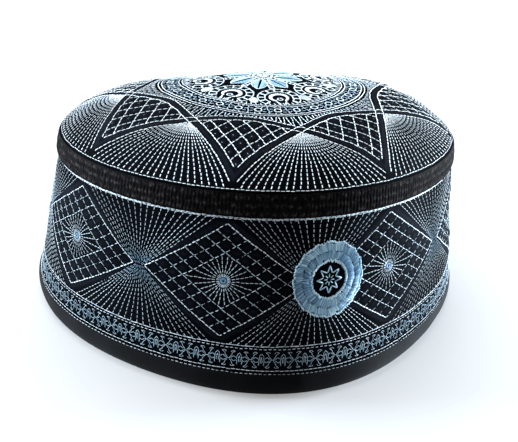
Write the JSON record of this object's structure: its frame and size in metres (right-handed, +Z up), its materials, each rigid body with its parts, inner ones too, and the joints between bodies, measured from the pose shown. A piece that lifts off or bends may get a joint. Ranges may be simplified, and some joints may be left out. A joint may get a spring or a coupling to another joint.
{
  "type": "embroidered kufi cap",
  "caption": "Round brimless embroidered cap with a domed crown, a ribbed band, a tall patterned wall and a bound hem, open below for the head.",
  "frame": {"origin": "centre of the rim, in the plane that the cap stands on", "axes": "+Z up through the middle of the crown, -Y towards the front with the medallion, +X across the cap"},
  "size_m": [0.197, 0.1866, 0.0991],
  "materials": {
    "crown_cloth": "near-black blue cotton, quilted with white and pale blue embroidery",
    "wall_cloth": "near-black blue cotton, quilted with white and pale blue embroidery",
    "band_braid": "black ribbed braid with a soft sheen",
    "hem_binding": "plain black cotton binding, matt",
    "medallion_thread": "steel blue satin stitch with a black middle"
  },
  "bodies": {
    "root": {"crown": "crown_cloth", "crown_band": "band_braid", "side_wall": "wall_cloth", "hem_binding": "hem_binding", "medallion": "medallion_thread"}
  },
  "joints": []
}
